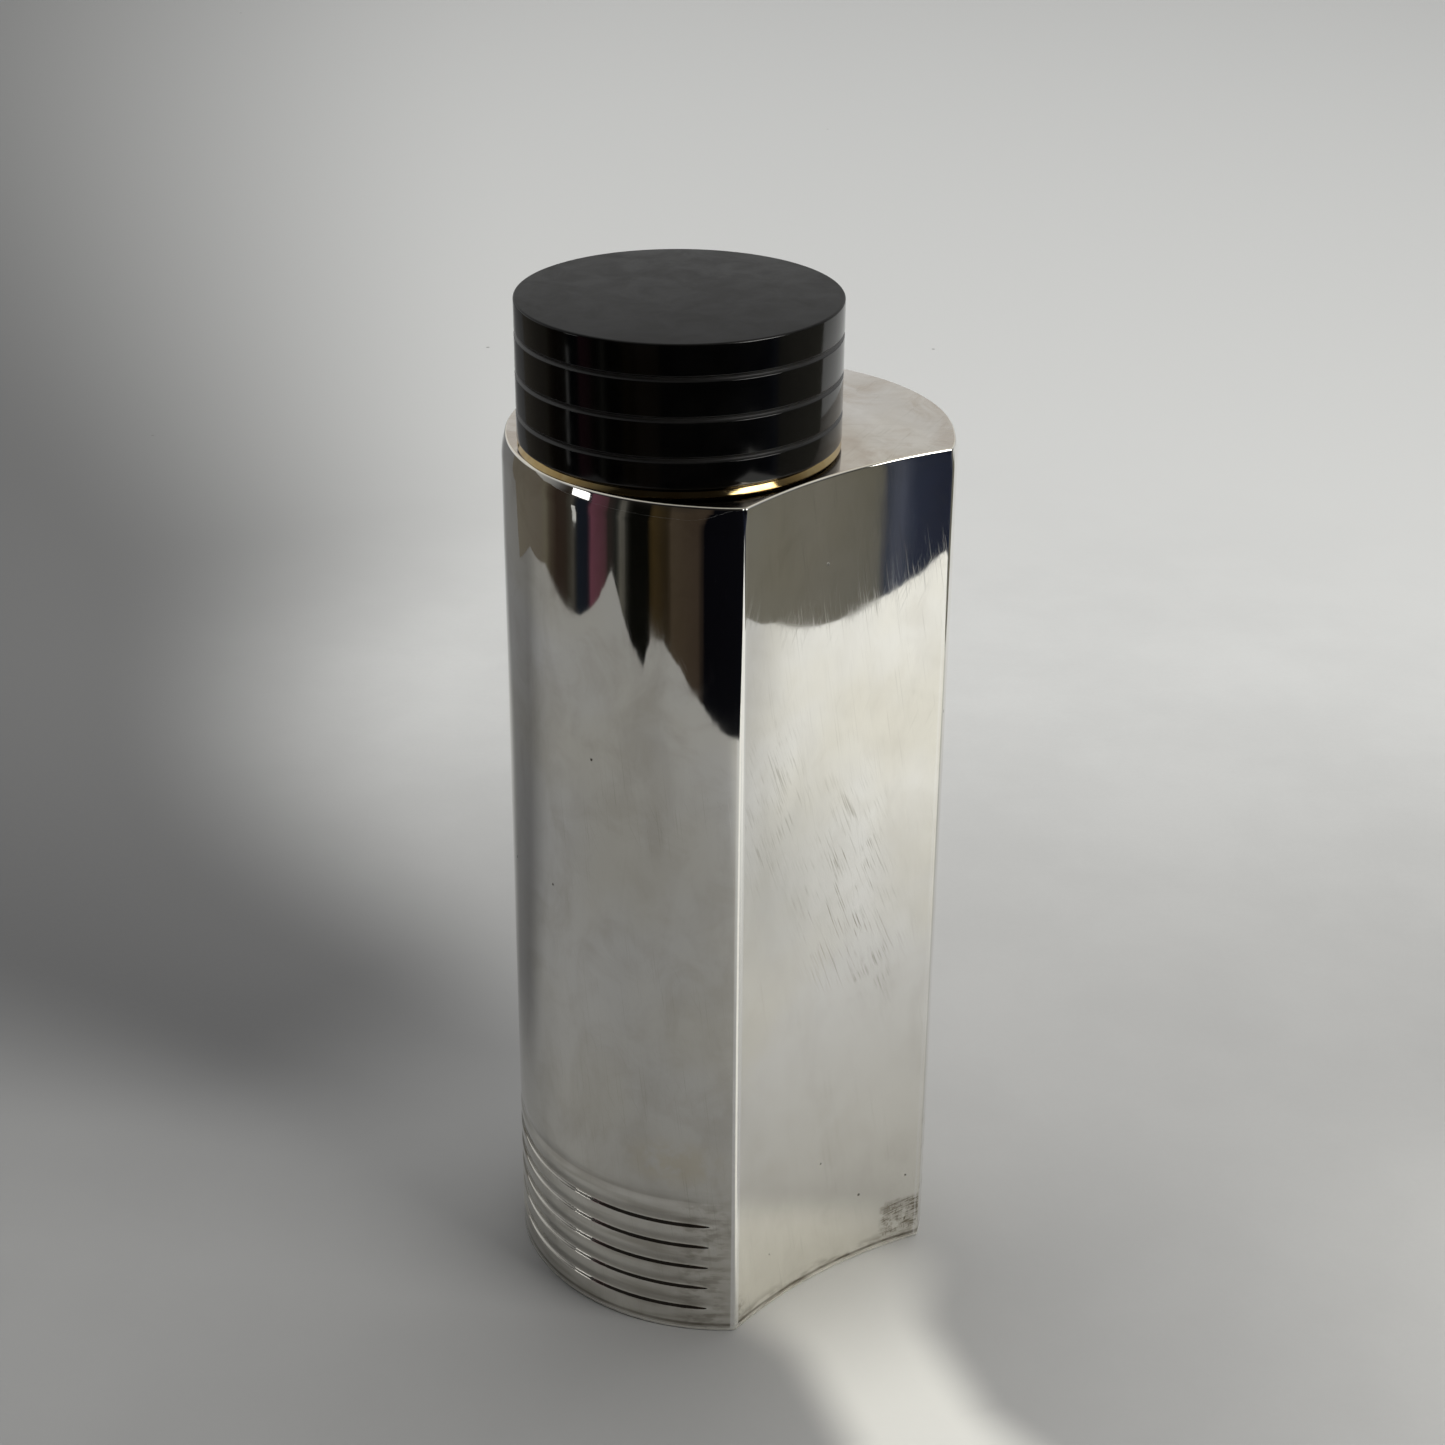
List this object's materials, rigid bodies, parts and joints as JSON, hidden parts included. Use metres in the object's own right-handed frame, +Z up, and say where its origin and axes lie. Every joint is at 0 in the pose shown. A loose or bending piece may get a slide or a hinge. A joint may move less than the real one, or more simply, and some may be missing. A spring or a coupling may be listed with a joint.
{
  "type": "tea caddy",
  "caption": "Tall round silver-plated tea caddy with one concave side, grooved foot, offset gilt neck and a black ringed slip-on cap sealed by a cork disc.",
  "frame": {"origin": "centre of the round body, on the plane the base stands on", "axes": "+Z up along the body; the concave side faces -Y; the neck and cap stand off towards -X"},
  "size_m": [0.082, 0.0742, 0.1966],
  "materials": {
    "silver_plate": "polished silver plate, hairline scratches",
    "gilt": "polished gilt",
    "solder": "dull soft solder",
    "black_cap": "glossy black side, satin top",
    "cork": "matt pressed cork"
  },
  "bodies": {
    "canister": {"round_wall": "silver_plate", "concave_panel": "silver_plate", "top_plate": "silver_plate", "base_plate": "silver_plate", "corner_fillets": "solder", "neck_tube": "gilt", "neck_ring": "gilt", "neck_fillet": "solder"},
    "cork": {"cork_disc": "cork"},
    "cap": {"cap_shell": "black_cap", "cap_sleeve": "gilt"}
  },
  "joints": [
    {"name": "cap_lift", "type": "slide", "parent": "canister", "child": "cork", "axis": [0, 0, 1], "range_m": [0, 0.06]},
    {"name": "cap_turn", "type": "hinge", "parent": "cork", "child": "cap", "pos_m": [-0.0116, 0, 0.184], "axis": [0, 0, 1], "continuous": true}
  ]
}
